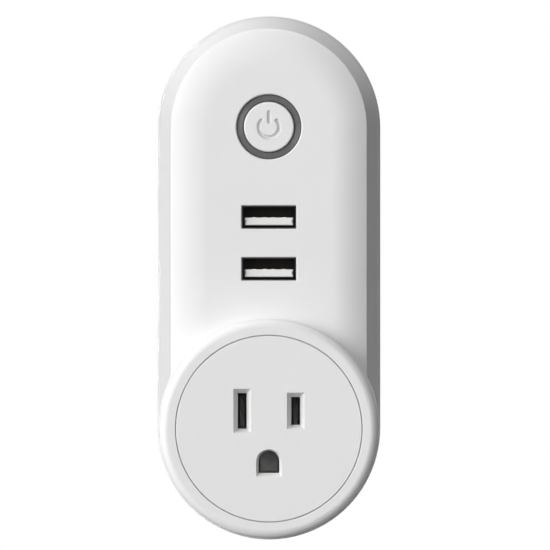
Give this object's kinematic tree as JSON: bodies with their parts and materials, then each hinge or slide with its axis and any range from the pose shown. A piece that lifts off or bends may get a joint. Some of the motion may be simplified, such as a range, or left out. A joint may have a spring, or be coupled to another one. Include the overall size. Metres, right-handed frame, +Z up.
{
  "type": "smart plug",
  "caption": "Pill-shaped wall smart plug with a raised round pass-through socket, USB-A ports and a lit power button, opened up into case, boards, relay and contacts.",
  "frame": {"origin": "on the wall plane (the flat back of the plug), midway between the two flat blades", "axes": "+Z up the case's long axis, from the socket to the button; +Y into the wall, the way the blades point, so the front faces -Y; +X to the right seen from the front"},
  "size_m": [0.0532, 0.0556, 0.125],
  "materials": {
    "white_case": "fine satin, moulded",
    "smoked_ring": "smoked translucent",
    "dark_carrier": "matt black, moulded",
    "usb_black": "black oxide",
    "usb_white": "satin",
    "gilt": "gilded",
    "nickel_brass": "nickel plated, polished",
    "spring_bronze": "bright",
    "zinc_screw": "zinc plated",
    "rating_foil": "satin foil",
    "blade_block_white": "satin",
    "board_green": "solder mask",
    "header_black": "matt",
    "chip_black": "matt",
    "led_clear": "clear over phosphor",
    "shield_tin": "tinned",
    "capacitor_sleeve": "shrink sleeve",
    "ferrite": "ground",
    "bobbin_black": "matt",
    "tape_yellow": "polyester tape",
    "copper_wire": "enamelled copper",
    "fuse_glass": "clear",
    "varistor_blue": "dipped epoxy",
    "capacitor_orange": "dipped epoxy",
    "relay_clear": "tinted, clear",
    "relay_base_black": "matt",
    "iron": "nickel plated iron",
    "lead_white": "PVC insulation",
    "lead_black": "PVC insulation",
    "lead_red": "PVC insulation",
    "switch_black": "matt",
    "switch_steel": "spring steel"
  },
  "bodies": {
    "case": {"blade_block": "blade_block_white", "board_screws": "zinc_screw", "bridge_rectifier": "chip_black", "bulk_capacitor": "capacitor_sleeve", "case_screws": "zinc_screw", "contact_carrier": "dark_carrier", "control_board": "board_green", "control_header": "header_black", "driver_chip": "chip_black", "earth_contact": "spring_bronze", "earth_pin": "nickel_brass", "earth_strap": "spring_bronze", "front_cover": "white_case", "fuse_caps": "zinc_screw", "fuse_tube": "fuse_glass", "inductor_core": "ferrite", "inductor_winding": "copper_wire", "light_ring": "smoked_ring", "line_blade": "nickel_brass", "line_contact": "spring_bronze", "line_in_lead": "lead_black", "line_out_lead": "lead_red", "lower_usb_shell": "usb_black", "lower_usb_tongue": "usb_white", "neutral_blade": "nickel_brass", "neutral_contact": "spring_bronze", "neutral_lead": "lead_white", "neutral_strap": "spring_bronze", "output_capacitor": "capacitor_sleeve", "power_board": "board_green", "rating_plate": "rating_foil", "rear_housing": "white_case", "relay_base": "relay_base_black", "relay_coil": "copper_wire", "relay_cover": "relay_clear", "relay_terminal": "spring_bronze", "relay_yoke": "iron", "ring_leds": "led_clear", "safety_capacitor": "capacitor_orange", "socket_face": "white_case", "socket_ring": "white_case", "tact_dome": "switch_steel", "tact_switch": "switch_black", "transformer_bobbin": "bobbin_black", "transformer_core": "ferrite", "transformer_winding": "tape_yellow", "upper_usb_shell": "usb_black", "upper_usb_tongue": "usb_white", "usb_board": "board_green", "usb_contacts": "gilt", "usb_header": "header_black", "usb_inserts": "header_black", "varistor": "varistor_blue", "wifi_module": "board_green", "wifi_shield": "shield_tin"},
    "button": {"button_cap": "white_case"},
    "plunger": {"tact_plunger": "switch_black"},
    "armature": {"relay_armature": "iron", "relay_spring": "spring_bronze"}
  },
  "joints": [
    {"name": "button_press", "type": "slide", "parent": "case", "child": "button", "axis": [0, 1, 0], "range_m": [0, 0.0004], "stiffness_N_per_m": 1500, "springref_m": -0.0005},
    {"name": "plunger_travel", "type": "slide", "parent": "case", "child": "plunger", "axis": [0, 1, 0], "range_m": [0, 0.0005]},
    {"name": "relay_rock", "type": "hinge", "parent": "case", "child": "armature", "pos_m": [0.0148, -0.0164, 0.0394], "axis": [1, 0, 0], "range_deg": [0, 3.4], "stiffness_Nm_per_rad": 0.03, "springref_deg": -2.86}
  ],
  "couplings": [
    {"joint": "plunger_travel", "follows": "button_press", "ratio": 1}
  ]
}
